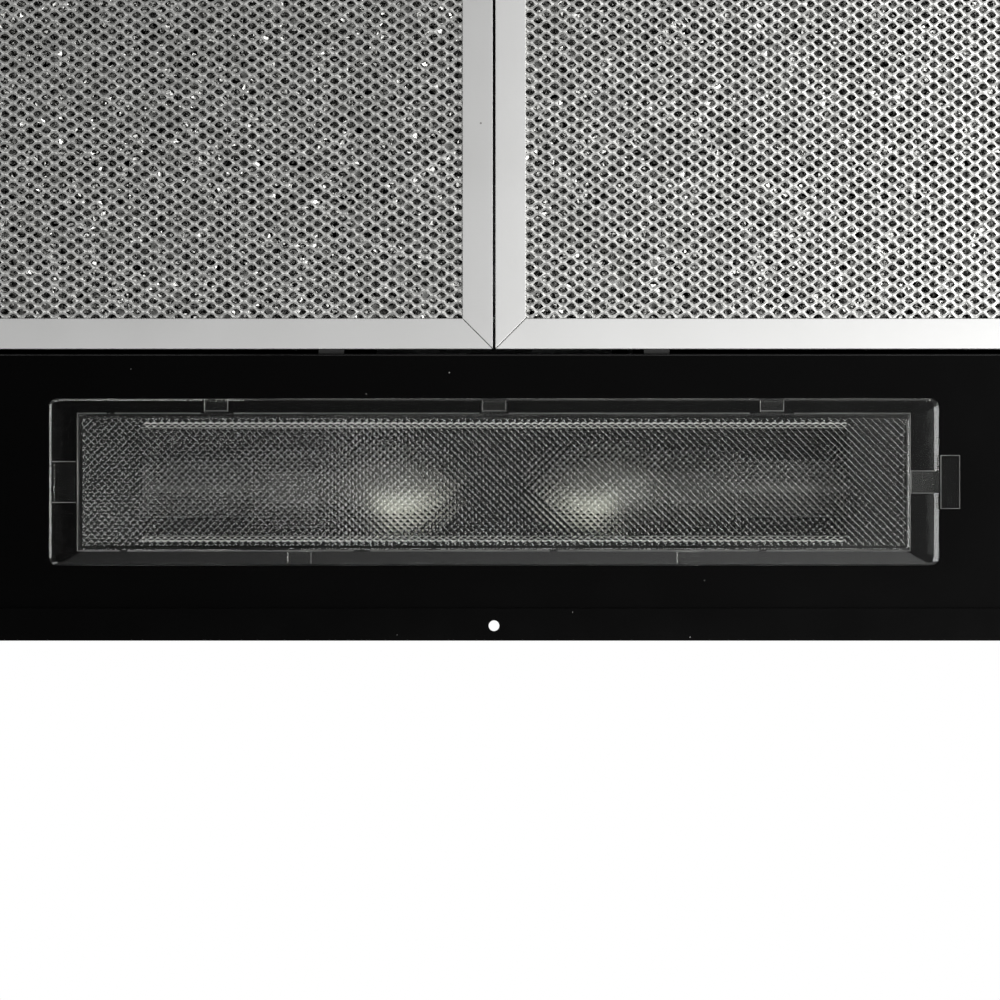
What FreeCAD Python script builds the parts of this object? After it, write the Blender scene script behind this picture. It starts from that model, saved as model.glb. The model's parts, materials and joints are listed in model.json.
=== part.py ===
import FreeCAD, Part
import math
import os

Vector = FreeCAD.Vector
X_AXIS = Vector(1, 0, 0)
Y_AXIS = Vector(0, 1, 0)
Z_AXIS = Vector(0, 0, 1)

# A range hood insert, in millimetres. X is the width, Y the depth with the front at -Y, Z is up.
# The origin is at the middle of the footprint, at the underside of the mounting flange.
# Right and left are as seen from the front.

# Casing
casing_width = 692.0
casing_depth = 412.0
casing_height = 250.0
sheet = 1.0
flange_width = 14.0
fold_width = 12.0
joint_gap = 0.3

# Underside: the sheets stand above the mounting flange by the recess
recess = 8.0
lip_height = 12.0
light_panel_depth = 119.5

# Grease filters
rear_rail_depth = 16.6
filter_height = 9.0
filter_front_gap = 2.4
filter_middle_gap = 1.2
filter_side_gap = 1.5
filter_rear_gap = 1.5
side_rail_width = 11.9
rail_width = 14.3
rail_sheet = 0.8
face_mesh_thickness = 1.0
back_mesh_thickness = 1.0
foil_layers = 3
foil_sheet = 0.4
mesh_hole_length = 11.5
mesh_hole_width = 7.0
mesh_pitch_x = 16.5
mesh_pitch_y = 15.8
lug_width = 12.0
lug_reach = 4.0
lug_sheet = 1.0
lug_lift = 3.0
lug_inset = 76.0
lug_rise = 2.2
hinge_lift = 0.5
grip_width = 52.0
grip_depth = 30.0
finger_room = 8.0
grip_wall = 1.2
nose_width = 16.0
nose_reach = 3.6
nose_height = 3.0
latch_travel = 5.0

# Lamp cover and its opening
cover_length = 418.0
cover_depth = 78.5
cover_rear_margin = 21.0
cover_sheet = 1.6
cover_corner = 4.0
cover_border_end = 14.65
cover_border_side = 7.75
cover_drop = 3.2
cover_seat_gap = 0.4
window_length = 332.0
window_depth = 52.6
window_corner = 4.0
tab_width = 11.0
tab_thickness = 1.6
tab_height = 2.6
tab_clearance = 0.8
rear_tab_spacing = 130.5
front_tab_spacing = 91.4
end_tab_width = 19.0
grip_tab_length = 9.4
grip_tab_width = 25.5
latch_stem_length = 13.4
latch_stem_width = 10.7
cover_latch_travel = 2.5
slide_clearance = 0.3

# Lamps
reflector_margin = 6.0
reflector_height = 44.0
reflector_sheet = 0.8
lamp_radius = 17.5
lamp_tip = 18.0
lamp_glass_length = 62.0
lamp_base_radius = 6.8
lamp_base_length = 18.0
lamp_forward = 3.0
socket_radius = 12.5
socket_length = 30.0
socket_wall_gap = 0.2

# Switches, on the light panel at the left
switch_end_margin = 57.0
switch_spacing = 34.0
bezel_length = 21.0
bezel_width = 15.0
bezel_thickness = 1.6
switch_cut_length = 18.8
switch_cut_width = 12.8
switch_body_height = 18.0
rocker_gap = 0.4
rocker_wall = 1.3
rocker_depth = 7.0

# Blower
axle_y = -28.5
axle_drop = 100.0
wheel_radius = 75.0
wheel_width = 100.0
wheel_sheet = 1.5
blade_count = 24
blade_depth = 13.0
blade_sheet = 1.0
blade_edge = 0.6
blade_lean = 30.0
hub_radius = 14.0
hub_length = 22.0
shaft_radius = 4.0
bearing_clearance = 0.06
scroll_width = 112.0
scroll_sheet = 1.2
scroll_radius = 90.0
scroll_growth = 11.0
tongue_angle = 60.0
inlet_radius = 64.0
motor_radius = 42.0
motor_length = 62.0
motor_gap = 12.0
spider_sheet = 2.0
spider_arm = 14.0
spider_foot_radius = 70.0
capacitor_radius = 14.0
capacitor_length = 55.0
capacitor_gap = 44.8
capacitor_y = 70.0
clip_sheet = 0.8
clip_width = 14.0

# Wiring
wiring_wall_gap = 15.0
wiring_y = 150.0
wiring_length = 90.0
wiring_depth = 70.0
wiring_height = 48.0
wiring_sheet = 0.8
knockout_radius = 11.0
gland_bore = 7.0
gland_flange_radius = 16.0
gland_flange = 3.0
gland_nut_radius = 15.0
gland_nut_height = 5.0
terminal_length = 40.0
terminal_depth = 16.0
terminal_height = 14.0

# Duct collar and damper
collar_radius = 74.5
collar_height = 45.0
collar_sheet = 1.0
collar_flange_width = 15.5
collar_screw_inset = 7.0
damper_lift = 12.0
pin_radius = 1.5
pin_spacing = 5.8
pin_clearance = 0.08
pin_end_inset = 0.2
knuckle_wall = 0.8
knuckle_length = 120.0
flap_sheet = 0.8
flap_clearance = 1.2
flap_stop_width = 3.0

# Fasteners
screw_head_radius = 3.5
screw_head_height = 2.0
screw_radius = 1.9
screw_length = 6.0
screw_clearance = 0.15
mount_hole_radius = 2.5
mount_hole_inset_x = 20.0
mount_hole_inset_y = 7.0

# Places that follow from the sizes above
inner_x = casing_width / 2 - sheet
inner_y = casing_depth / 2 - sheet
top_under = casing_height - sheet
panel_top = recess + sheet
bay_front = -inner_y + light_panel_depth
filter_front = bay_front + filter_front_gap
rear_rail_front = inner_y - rear_rail_depth
filter_rear = rear_rail_front - filter_rear_gap
filter_depth = filter_rear - filter_front
side_rail_inner = inner_x - side_rail_width
filter_inner = filter_middle_gap / 2
filter_outer = side_rail_inner - filter_side_gap
filter_middle = (filter_inner + filter_outer) / 2
filter_top = recess + filter_height
cover_rear = bay_front - cover_rear_margin
cover_front = cover_rear - cover_depth
cover_middle = (cover_rear + cover_front) / 2
cover_top = recess - cover_seat_gap
cover_end = cover_length / 2
cover_box_length = cover_length - 2 * cover_border_end
cover_box_depth = cover_depth - 2 * cover_border_side
switch_x = -(inner_x - switch_end_margin)
axle_height = casing_height - axle_drop
scroll_half = scroll_width / 2
motor_face_x = -(scroll_half + scroll_sheet + motor_gap)
capacitor_x = motor_face_x - motor_length - capacitor_gap - capacitor_radius
wiring_x = inner_x - wiring_wall_gap - wiring_length / 2
throat_rear = axle_y + scroll_growth / 2 + scroll_radius + 2 * scroll_growth
throat_front = axle_y - scroll_growth / 2 + scroll_radius * math.cos(math.radians(tongue_angle))
tongue_height = axle_height - scroll_growth / 2 + scroll_radius * math.sin(math.radians(tongue_angle))
collar_y = (throat_front + throat_rear) / 2
collar_base = casing_height
collar_flange_radius = collar_radius + collar_flange_width
collar_screw_radius = collar_flange_radius - collar_screw_inset
flap_level = collar_base + damper_lift


def box(x0, x1, y0, y1, z0, z1):
    return Part.makeBox(x1 - x0, y1 - y0, z1 - z0, Vector(x0, y0, z0))


def rod(radius, length, x, y, z, axis=Z_AXIS):
    return Part.makeCylinder(radius, length, Vector(x, y, z), axis)


def ring(outer, inner, length, x, y, z, axis=Z_AXIS):
    return rod(outer, length, x, y, z, axis).cut(rod(inner, length, x, y, z, axis))


def join(shapes):
    whole = shapes[0]
    for shape in shapes[1:]:
        whole = whole.fuse(shape)
    return whole.removeSplitter()


def cut_all(shape, tools):
    for tool in tools:
        shape = shape.cut(tool)
    return shape


def mirrored(shape):
    return shape.mirror(Vector(0, 0, 0), X_AXIS)


def rounded_plate(length, depth, y_middle, z0, z1, corner):
    plate = box(-length / 2, length / 2, y_middle - depth / 2, y_middle + depth / 2, z0, z1)
    upright = [e for e in plate.Edges if abs(e.tangentAt(e.FirstParameter).z) > 0.99]
    return plate.makeFillet(corner, upright)


def export(name, *solids):
    shape = solids[0] if len(solids) == 1 else Part.makeCompound(list(solids))
    shape.exportStep("parts/" + name + ".step")


# ---------------------------------------------------------------- casing

def mount_hole_points():
    x = casing_width / 2 + flange_width - mount_hole_inset_x
    y = casing_depth / 2 + flange_width - mount_hole_inset_y
    return [(px, py) for px in (-x, 0, x) for py in (-y, y)]


def top_screw_points():
    y = inner_y - fold_width / 2
    x = inner_x * 0.75
    return [(px, py) for px in (-x, 0, x) for py in (-y, y)]


def long_wall(side):
    # front (-1) or rear (+1) wall: one sheet with a foot turned out and a fold turned in
    outer = casing_depth / 2 * side
    inner = inner_y * side
    half = casing_width / 2
    wall = box(-half, half, min(outer, inner), max(outer, inner), 0, top_under)
    foot_edge = outer + flange_width * side
    foot_half = half + flange_width
    foot = box(-foot_half, foot_half, min(inner, foot_edge), max(inner, foot_edge), 0, sheet)
    fold_edge = inner - fold_width * side
    fold = box(-inner_x, inner_x, min(outer, fold_edge), max(outer, fold_edge), top_under - sheet, top_under)
    holes = [rod(mount_hole_radius, sheet, x, y, 0) for x, y in mount_hole_points()]
    holes += [rod(screw_radius + screw_clearance, sheet, x, y, top_under - sheet)
              for x, y in top_screw_points()]
    return cut_all(join([wall, foot, fold]), holes + wall_rivet_holes())


def side_wall(side):
    outer = casing_width / 2 * side
    inner = inner_x * side
    wall = box(min(outer, inner), max(outer, inner), -inner_y, inner_y, 0, top_under)
    foot_edge = outer + flange_width * side
    foot = box(min(inner, foot_edge), max(inner, foot_edge), -inner_y, inner_y, 0, sheet)
    fold_edge = inner - fold_width * side
    reach = inner_y - fold_width - joint_gap
    fold = box(min(outer, fold_edge), max(outer, fold_edge), -reach, reach, top_under - sheet, top_under)
    return cut_all(join([wall, foot, fold]), wall_rivet_holes())


def top_panel():
    plate = box(-casing_width / 2, casing_width / 2, -casing_depth / 2, casing_depth / 2,
                top_under, casing_height)
    duct = box(-scroll_half, scroll_half, throat_front, throat_rear, top_under, casing_height)
    holes = [rod(screw_radius + screw_clearance, sheet, x, y, top_under)
             for x, y in top_screw_points() + collar_screw_points()]
    knockout = rod(knockout_radius, sheet, wiring_x, wiring_y, top_under)
    return cut_all(plate, [duct, knockout] + holes)


def screw_down(x, y, z):
    # a pan-head screw whose head seats at height z
    head = rod(screw_head_radius, screw_head_height, x, y, z)
    rim = [e for e in head.Edges if e.BoundBox.ZMin > z + screw_head_height / 2 and len(e.Vertexes) == 1]
    head = head.makeFillet(screw_head_height / 2, rim)
    return head.fuse(rod(screw_radius, screw_length, x, y, z - screw_length))


def casing_screws():
    return [screw_down(x, y, casing_height) for x, y in top_screw_points()]


# ---------------------------------------------------------------- underside sheets

def rivet_places():
    # (x, y, outward direction) of the rivets that hold the lips to the walls
    x_row = (-inner_x * 0.7, 0, inner_x * 0.7)
    y_row = (bay_front + filter_depth * 0.2, bay_front + filter_depth * 0.75)
    places = [(x, side * inner_y, Vector(0, side, 0)) for x in x_row for side in (-1, 1)]
    places += [(side * inner_x, y, Vector(side, 0, 0)) for y in y_row for side in (-1, 1)]
    return places


def rivet_height():
    return panel_top + lip_height * 0.55


def wall_rivet_holes():
    radius = screw_radius + screw_clearance
    return [Part.makeCylinder(radius, 4 * sheet, Vector(x, y, rivet_height()) - out * 2 * sheet, out)
            for x, y, out in rivet_places()]


def frame_rivets():
    rivets = []
    for x, y, out in rivet_places():
        seat = Vector(x, y, rivet_height()) + out * sheet
        tail = Vector(x, y, rivet_height()) - out * sheet
        head = Part.makeCylinder(screw_head_radius, screw_head_height / 2, seat, out)
        shank = Part.makeCylinder(screw_radius, 2 * sheet, tail, out)
        upset = Part.makeCylinder(screw_head_radius * 0.8, screw_head_height / 2, tail, out * -1)
        rivets.append(head.fuse(shank).fuse(upset))
    return rivets


def rear_tab_places():
    y = (cover_rear + cover_middle + cover_box_depth / 2) / 2
    return [(x, y) for x in (-rear_tab_spacing, 0, rear_tab_spacing)]


def front_tab_places():
    y = (cover_front + cover_middle - cover_box_depth / 2) / 2
    return [(x, y) for x in (-front_tab_spacing, front_tab_spacing)]


def end_tab_x():
    return (cover_end + cover_box_length / 2) / 2


def cover_tabs(grow, z0, z1):
    tabs = []
    for x, y in rear_tab_places() + front_tab_places():
        tabs.append(box(x - tab_width / 2 - grow, x + tab_width / 2 + grow,
                        y - tab_thickness / 2 - grow, y + tab_thickness / 2 + grow, z0, z1))
    x = end_tab_x()
    tabs.append(box(x - tab_thickness / 2 - grow, x + tab_thickness / 2 + grow,
                    cover_middle - end_tab_width / 2 - grow, cover_middle + end_tab_width / 2 + grow, z0, z1))
    return tabs


def latch_post_x():
    return -cover_end + latch_stem_length / 2


def switch_places():
    return [(switch_x, cover_middle + switch_spacing / 2), (switch_x, cover_middle - switch_spacing / 2)]


def lug_places():
    return [filter_inner + lug_inset, filter_outer - lug_inset]


def lug_slots():
    z0 = recess + lug_rise
    z1 = z0 + lug_sheet + lug_lift
    slots = []
    for x in lug_places():
        half = lug_width / 2 + tab_clearance
        slot = box(x - half, x + half, bay_front - 2 * sheet, bay_front + sheet, z0, z1)
        slots += [slot, mirrored(slot)]
    return slots


def light_panel():
    half = inner_x - joint_gap
    plate = box(-half, half, -inner_y, bay_front, recess, panel_top)
    front_lip = box(-half, half, -inner_y, -inner_y + sheet, recess, panel_top + lip_height)
    rear_lip = box(-half, half, bay_front - sheet, bay_front, recess, panel_top + lip_height)
    window = rounded_plate(window_length, window_depth, cover_middle, recess, panel_top, window_corner)
    tools = [window] + cover_tabs(tab_clearance, recess, panel_top) + lug_slots() + wall_rivet_holes()
    post = latch_post_x()
    tools.append(box(post - tab_thickness / 2 - cover_latch_travel - tab_clearance,
                     post + tab_thickness / 2 + tab_clearance,
                     cover_middle - latch_stem_width / 2 - tab_clearance,
                     cover_middle + latch_stem_width / 2 + tab_clearance, recess, panel_top))
    for x, y in switch_places():
        tools.append(box(x - switch_cut_length / 2, x + switch_cut_length / 2,
                         y - switch_cut_width / 2, y + switch_cut_width / 2, recess, panel_top))
    return cut_all(join([plate, front_lip, rear_lip]), tools)


def side_rail():
    front = bay_front + joint_gap
    rear = rear_rail_front - joint_gap
    plate = box(side_rail_inner, inner_x, front, rear, recess, panel_top)
    bay_lip = box(side_rail_inner, side_rail_inner + sheet, front, rear, recess, panel_top + lip_height / 2)
    wall_lip = box(inner_x - sheet, inner_x, front, rear, recess, panel_top + lip_height)
    return cut_all(join([plate, bay_lip, wall_lip]), wall_rivet_holes())


def rear_rail():
    half = inner_x - joint_gap
    plate = box(-half, half, rear_rail_front, inner_y, recess, panel_top)
    wall_lip = box(-half, half, inner_y - sheet, inner_y, recess, panel_top + lip_height)
    notch_half = nose_width / 2 + tab_clearance
    notch = box(filter_middle - notch_half, filter_middle + notch_half, rear_rail_front,
                filter_rear + nose_reach + tab_clearance, recess, panel_top)
    return cut_all(join([plate, wall_lip]), [notch, mirrored(notch)] + wall_rivet_holes())


# ---------------------------------------------------------------- grease filter (the right one)

def nose_level():
    return recess + filter_height / 2 - nose_height / 2


def grip_front():
    return filter_rear - rail_width - grip_depth


def mitre_prism(points):
    wire = Part.makePolygon([Vector(x, y, recess - 1) for x, y in points + points[:1]])
    return Part.Face(wire).extrude(Vector(0, 0, filter_height + 2))


def filter_rail(x0, x1, y0, y1, hollow, corner_points):
    # one rail: a channel that opens towards the middle, cut to its mitres
    bar = box(x0, x1, y0, y1, recess, filter_top)
    return bar.cut(hollow).common(mitre_prism(corner_points))


def filter_rails():
    x0, x1, y0, y1 = filter_inner, filter_outer, filter_front, filter_rear
    w = rail_width
    hollow = box(x0 + rail_sheet, x1 - rail_sheet, y0 + rail_sheet, y1 - rail_sheet,
                 recess + rail_sheet, filter_top - rail_sheet)
    slot = box(filter_middle - nose_width / 2 - slide_clearance, filter_middle + nose_width / 2 + slide_clearance,
               y1 - 2 * rail_sheet, y1 + 1, nose_level() - slide_clearance,
               nose_level() + nose_height + slide_clearance)
    # the mitres run from beyond the frame's corners to beyond the rails' inner edges
    u0, u1, v0, v1 = x0 - rail_sheet, x1 + rail_sheet, y0 - rail_sheet, y1 + rail_sheet
    m = w + 2 * rail_sheet
    rails = [
        filter_rail(x0, x1, y0, y0 + w, hollow, [(u0, v0), (u1, v0), (u1 - m, v0 + m), (u0 + m, v0 + m)]),
        filter_rail(x0, x1, y1 - w, y1, hollow, [(u0, v1), (u0 + m, v1 - m), (u1 - m, v1 - m), (u1, v1)]),
        filter_rail(x0, x0 + w, y0, y1, hollow, [(u0, v0), (u0 + m, v0 + m), (u0 + m, v1 - m), (u0, v1)]),
        filter_rail(x1 - w, x1, y0, y1, hollow, [(u1, v0), (u1, v1), (u1 - m, v1 - m), (u1 - m, v0 + m)]),
    ]
    return [rail.cut(slot) for rail in rails]


def eye_hole(x, y, z):
    left = Vector(x - mesh_hole_length / 2, y, z)
    right = Vector(x + mesh_hole_length / 2, y, z)
    upper = Part.Arc(left, Vector(x, y + mesh_hole_width / 2, z), right).toShape()
    lower = Part.Arc(right, Vector(x, y - mesh_hole_width / 2, z), left).toShape()
    return Part.Wire([upper, lower])


def grip_window(grow):
    half = grip_width / 2 + grow
    return box(filter_middle - half, filter_middle + half, grip_front() - grow, filter_rear,
               recess - 1, filter_top + 1)


def mesh_sheet(z, thickness):
    # a staggered net of eye-shaped gaps, one holed face given its thickness
    x0, x1 = filter_inner + rail_sheet, filter_outer - rail_sheet
    y0, y1 = filter_front + rail_sheet, filter_rear - rail_sheet
    border = Part.makePolygon([Vector(x0, y0, z), Vector(x1, y0, z), Vector(x1, y1, z), Vector(x0, y1, z),
                               Vector(x0, y0, z)])
    columns = int((filter_outer - filter_inner - 2 * rail_width) // mesh_pitch_x)
    rows = int((filter_depth - 2 * rail_width) // mesh_pitch_y)
    holes = []
    for row in range(rows):
        count = columns - row % 2
        y = (filter_front + filter_rear) / 2 + (row - (rows - 1) / 2) * mesh_pitch_y
        for column in range(count):
            x = filter_middle + (column - (count - 1) / 2) * mesh_pitch_x
            near_grip = abs(x - filter_middle) < grip_width / 2 + mesh_pitch_x and \
                y > grip_front() - mesh_pitch_y
            if not near_grip:
                holes.append(eye_hole(x, y, z))
    face = Part.makeFace(Part.makeCompound([border] + holes), "Part::FaceMakerBullseye")
    return face.extrude(Vector(0, 0, thickness)).cut(grip_window(slide_clearance))


def filter_foil():
    # thin foils, evenly spaced between the two meshes
    z0 = recess + rail_sheet + face_mesh_thickness
    z1 = filter_top - rail_sheet - back_mesh_thickness
    space = (z1 - z0 - foil_layers * foil_sheet) / (foil_layers + 1)
    foils = []
    for layer in range(foil_layers):
        z = z0 + space + layer * (space + foil_sheet)
        foil = box(filter_inner + rail_sheet, filter_outer - rail_sheet, filter_front + rail_sheet,
                   filter_rear - rail_sheet, z, z + foil_sheet)
        foils.append(foil.cut(grip_window(slide_clearance)))
    return foils


def filter_lugs():
    z0 = recess + lug_lift
    lugs = []
    for x in lug_places():
        tongue = box(x - lug_width / 2, x + lug_width / 2, filter_front - lug_reach, filter_front,
                     z0, z0 + lug_sheet)
        foot = box(x - lug_width / 2, x + lug_width / 2, filter_front - lug_sheet / 2, filter_front,
                   z0, filter_top)
        lugs.append(tongue.fuse(foot))
    return lugs


def grip_case():
    # a shallow tray let into the mesh behind the rear rail, in which the latch slides
    x0, x1 = filter_middle - grip_width / 2, filter_middle + grip_width / 2
    y0, y1 = grip_front(), filter_rear - rail_sheet - slide_clearance
    z0, z1 = recess + rail_sheet, filter_top - rail_sheet
    tray = box(x0, x1, y0, y1, z0, z1)
    pocket = box(x0 + grip_wall, x1 - grip_wall, y0 + grip_wall, y1, z0 - 1, z1 - grip_wall)
    return tray.cut(pocket)


def filter_latch():
    # the sliding bolt: a finger plate, its pull ridge and the nose
    half = grip_width / 2 - grip_wall - slide_clearance
    z0 = nose_level()
    y1 = filter_rear - rail_sheet - slide_clearance
    y0 = grip_front() + grip_wall + latch_travel + finger_room
    plate = box(filter_middle - half, filter_middle + half, y0, y1 - slide_clearance, z0, z0 + nose_height)
    ridge = box(filter_middle - half * 0.6, filter_middle + half * 0.6, y0, y0 + 2 * grip_wall, recess, z0)
    nose = box(filter_middle - nose_width / 2, filter_middle + nose_width / 2, y1 - nose_height,
               filter_rear + nose_reach, z0, z0 + nose_height)
    return join([plate, ridge, nose])


# ---------------------------------------------------------------- lamp cover

def cover_solid(z_top, inset):
    # the cover's outer skin: a sloped border from the rim down to the raised middle
    rim = rounded_plate(cover_length - 2 * inset, cover_depth - 2 * inset, cover_middle,
                        z_top - cover_sheet, z_top, cover_corner)
    raised = rounded_plate(cover_box_length - 2 * inset, cover_box_depth - 2 * inset, cover_middle,
                           z_top - cover_sheet - cover_drop, z_top, cover_corner / 2)
    return rim.fuse(raised)


def lamp_cover():
    shell = cover_solid(cover_top, 0)
    hollow = rounded_plate(cover_box_length - 2 * cover_sheet, cover_box_depth - 2 * cover_sheet,
                           cover_middle, cover_top - cover_drop, cover_top, cover_corner / 2)
    shell = shell.cut(hollow)
    stem = box(-cover_end, -cover_end + latch_stem_length + slide_clearance,
               cover_middle - latch_stem_width / 2 - slide_clearance,
               cover_middle + latch_stem_width / 2 + slide_clearance, cover_top - cover_sheet, cover_top)
    shell = shell.cut(stem)
    return join([shell] + cover_tabs(0, cover_top - cover_sheet, cover_top + tab_height))


def cover_latch():
    # clear grip tab beyond the cover's end, its stem in the cover's notch and the post through the panel
    half = latch_stem_width / 2
    grip_x = -cover_end - joint_gap
    stem = box(grip_x, -cover_end + latch_stem_length, cover_middle - half, cover_middle + half,
               cover_top - cover_sheet, cover_top)
    grip = box(grip_x - grip_tab_length, grip_x, cover_middle - grip_tab_width / 2,
               cover_middle + grip_tab_width / 2, cover_top - cover_sheet, cover_top)
    corners = [e for e in grip.Edges
               if abs(e.tangentAt(e.FirstParameter).z) > 0.99 and e.BoundBox.XMax < grip_x - joint_gap]
    grip = grip.makeFillet(cover_corner * 0.7, corners)
    ridge_x = grip_x - grip_tab_length * 0.3
    ridge = box(ridge_x - cover_sheet / 2, ridge_x, cover_middle - grip_tab_width / 2,
                cover_middle + grip_tab_width / 2, cover_top - 2 * cover_sheet, cover_top)
    post = latch_post_x()
    upright = box(post - tab_thickness / 2, post + tab_thickness / 2, cover_middle - half, cover_middle + half,
                  cover_top - cover_sheet, cover_top + tab_height)
    return join([stem, grip, ridge, upright])


# ---------------------------------------------------------------- lamps

def lamp_y():
    return cover_middle - lamp_forward


def lamp_z():
    return panel_top + reflector_height / 2


def reflector_half():
    return window_length / 2 + reflector_margin


def reflector():
    half_x = reflector_half()
    half_y = window_depth / 2 + reflector_margin / 2
    y0, y1 = cover_middle - half_y, cover_middle + half_y
    z1 = panel_top + reflector_height
    tray = box(-half_x, half_x, y0, y1, panel_top, z1)
    inside = box(-half_x + reflector_sheet, half_x - reflector_sheet, y0 + reflector_sheet,
                 y1 - reflector_sheet, panel_top, z1 - reflector_sheet)
    return tray.cut(inside)


def lamp_glass():
    # a candle lamp's blown envelope, turned about its own axis, tip towards the middle
    tip = Vector(lamp_tip, 0, 0)
    belly = Vector(lamp_tip + lamp_glass_length * 0.55, lamp_radius, 0)
    shoulder = Vector(lamp_tip + lamp_glass_length * 0.2, lamp_radius * 0.68, 0)
    waist = Vector(lamp_tip + lamp_glass_length * 0.85, lamp_radius * 0.75, 0)
    neck = Vector(lamp_tip + lamp_glass_length, lamp_base_radius, 0)
    foot = Vector(neck.x, 0, 0)
    edges = [Part.Arc(tip, shoulder, belly).toShape(), Part.Arc(belly, waist, neck).toShape(),
             Part.LineSegment(neck, foot).toShape(), Part.LineSegment(foot, tip).toShape()]
    glass = Part.Face(Part.Wire(edges)).revolve(Vector(0, 0, 0), X_AXIS, 360)
    glass.translate(Vector(0, lamp_y(), lamp_z()))
    return glass


def lamp_base():
    x = lamp_tip + lamp_glass_length
    return rod(lamp_base_radius, lamp_base_length, x, lamp_y(), lamp_z(), X_AXIS)


def lamp_socket():
    # the holder round the lamp's base, with a foot plate on the reflector's end wall
    x0 = lamp_tip + lamp_glass_length + joint_gap
    wall = reflector_half() - reflector_sheet
    shell = rod(socket_radius, socket_length, x0, lamp_y(), lamp_z(), X_AXIS)
    bore = rod(lamp_base_radius + socket_wall_gap, lamp_base_length, x0, lamp_y(), lamp_z(), X_AXIS)
    arm = box(x0 + socket_length - 1, wall, lamp_y() - socket_radius * 0.6, lamp_y() + socket_radius * 0.6,
              lamp_z() - sheet, lamp_z() + sheet)
    foot = box(wall - 2 * sheet, wall, lamp_y() - socket_radius, lamp_y() + socket_radius,
               lamp_z() - socket_radius, lamp_z() + socket_radius)
    return join([shell, arm, foot]).cut(bore)


# ---------------------------------------------------------------- switches

def switch_housing(x, y):
    bezel = box(x - bezel_length / 2, x + bezel_length / 2, y - bezel_width / 2, y + bezel_width / 2,
                recess - bezel_thickness, recess)
    half_x = switch_cut_length / 2 - slide_clearance
    half_y = switch_cut_width / 2 - slide_clearance
    body = box(x - half_x, x + half_x, y - half_y, y + half_y, recess - bezel_thickness,
               recess + switch_body_height)
    pocket = box(x - half_x + rocker_wall, x + half_x - rocker_wall, y - half_y + rocker_wall,
                 y + half_y - rocker_wall, recess - bezel_thickness, recess + rocker_depth)
    return join([bezel, body]).cut(pocket)


def rocker(x, y):
    # a key with a shallow V face, tipping about its middle
    half_x = switch_cut_length / 2 - slide_clearance - rocker_wall - 2 * rocker_gap
    half_y = switch_cut_width / 2 - slide_clearance - rocker_wall - rocker_gap
    z = rocker_level()
    points = [(-half_x, z - 2.6), (0, z - 1.4), (half_x, z - 2.6), (half_x * 0.9, z + 1.0), (half_x * 0.3, z + 2.4),
              (-half_x * 0.3, z + 2.4), (-half_x * 0.9, z + 1.0)]
    outline = Part.makePolygon([Vector(x + px, y - half_y, pz) for px, pz in points + points[:1]])
    return Part.Face(outline).extrude(Vector(0, 2 * half_y, 0))


def rocker_level():
    return recess + 1.5


# ---------------------------------------------------------------- blower

def scroll_line(grow):
    # the snail-shaped path in the Y-Z plane, moved outwards by grow; quarters of growing arcs
    g = scroll_growth / 2
    r = scroll_radius + grow
    t = math.radians(tongue_angle)
    cy, cz = axle_y, axle_height

    def on(oy, oz, radius, degrees):
        a = math.radians(degrees)
        return Vector(0, cy + oy + radius * math.cos(a), cz + oz + radius * math.sin(a))

    start = Vector(0, cy - g + r * math.cos(t), cz - g + r * math.sin(t))
    edges = [
        Part.Arc(start, on(-g, -g, r, 120), on(-g, -g, r, 180)).toShape(),
        Part.Arc(on(-g, -g, r, 180), on(g, -g, r + 2 * g, 225), on(g, -g, r + 2 * g, 270)).toShape(),
        Part.Arc(on(g, -g, r + 2 * g, 270), on(g, g, r + 4 * g, 315), on(g, g, r + 4 * g, 360)).toShape(),
    ]
    rear_bottom = on(g, g, r + 4 * g, 360)
    rear_top = Vector(0, rear_bottom.y, top_under)
    front_top = Vector(0, start.y, top_under)
    edges.append(Part.LineSegment(rear_bottom, rear_top).toShape())
    edges.append(Part.LineSegment(rear_top, front_top).toShape())
    edges.append(Part.LineSegment(front_top, start).toShape())
    return Part.Wire(edges)


def scroll_slab(grow, half):
    slab = Part.Face(scroll_line(grow)).extrude(Vector(2 * half, 0, 0))
    slab.translate(Vector(-half, 0, 0))
    return slab


def scroll_wrap():
    outer = scroll_slab(scroll_sheet, scroll_half)
    inner = scroll_slab(0, scroll_half)
    mouth_front = throat_front + scroll_sheet
    wall_front = box(-scroll_half, scroll_half, throat_front, mouth_front, tongue_height, top_under)
    inside = inner.cut(wall_front)
    return outer.cut(inside)


def scroll_side(side):
    plate = scroll_slab(scroll_sheet, scroll_sheet / 2)
    plate.translate(Vector(side * (scroll_half + scroll_sheet / 2), 0, 0))
    x0 = min(side * scroll_half, side * (scroll_half + scroll_sheet))
    inlet = rod(inlet_radius, scroll_sheet, x0, axle_y, axle_height, X_AXIS)
    fold_x = side * (scroll_half + scroll_sheet)
    fold = box(min(fold_x, fold_x + side * fold_width), max(fold_x, fold_x + side * fold_width),
               throat_front, throat_rear, top_under - scroll_sheet, top_under)
    holes = [rod(screw_radius + screw_clearance, scroll_sheet, side * hanger_x(), y, top_under - scroll_sheet)
             for y in hanger_rows()]
    return cut_all(join([plate, fold]), [inlet] + holes)


def hanger_x():
    return scroll_half + scroll_sheet + fold_width / 2


def hanger_rows():
    return [throat_front + fold_width, throat_rear - fold_width]


def blower_screws():
    screws = []
    for side in (-1, 1):
        for y in hanger_rows():
            head = rod(screw_head_radius, screw_head_height, side * hanger_x(), y,
                       top_under - scroll_sheet - screw_head_height)
            shank = rod(screw_radius, scroll_sheet, side * hanger_x(), y, top_under - scroll_sheet)
            screws.append(head.fuse(shank))
    return screws


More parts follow.
